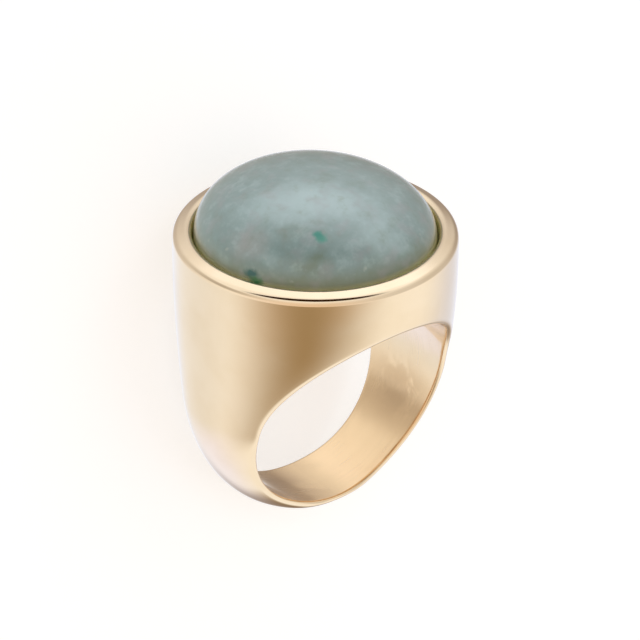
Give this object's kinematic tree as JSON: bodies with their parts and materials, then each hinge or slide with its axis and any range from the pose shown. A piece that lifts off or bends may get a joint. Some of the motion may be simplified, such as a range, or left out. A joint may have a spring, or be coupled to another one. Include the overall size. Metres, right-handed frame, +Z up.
{
  "type": "stone ring",
  "caption": "Finger ring with a wide round polished head that tapers to a narrow shank, and a round domed cabochon stone set flush in the head.",
  "frame": {"origin": "centre of the bottom of the bounding box, on the surface that the ring lies on", "axes": "+Z up with the ring lying on its side; X across the finger; the stone faces -Y and about 22 degrees up; the finger bore's axis leans about 22 degrees from +Z towards +Y"},
  "size_m": [0.0212, 0.0272, 0.0207],
  "materials": {
    "gold_metal": "polished pale gold plating",
    "green_stone": "polished translucent milky grey-green with fine clouds and dark green specks"
  },
  "bodies": {
    "root": {"ring_body": "gold_metal", "stone": "green_stone"}
  },
  "joints": []
}
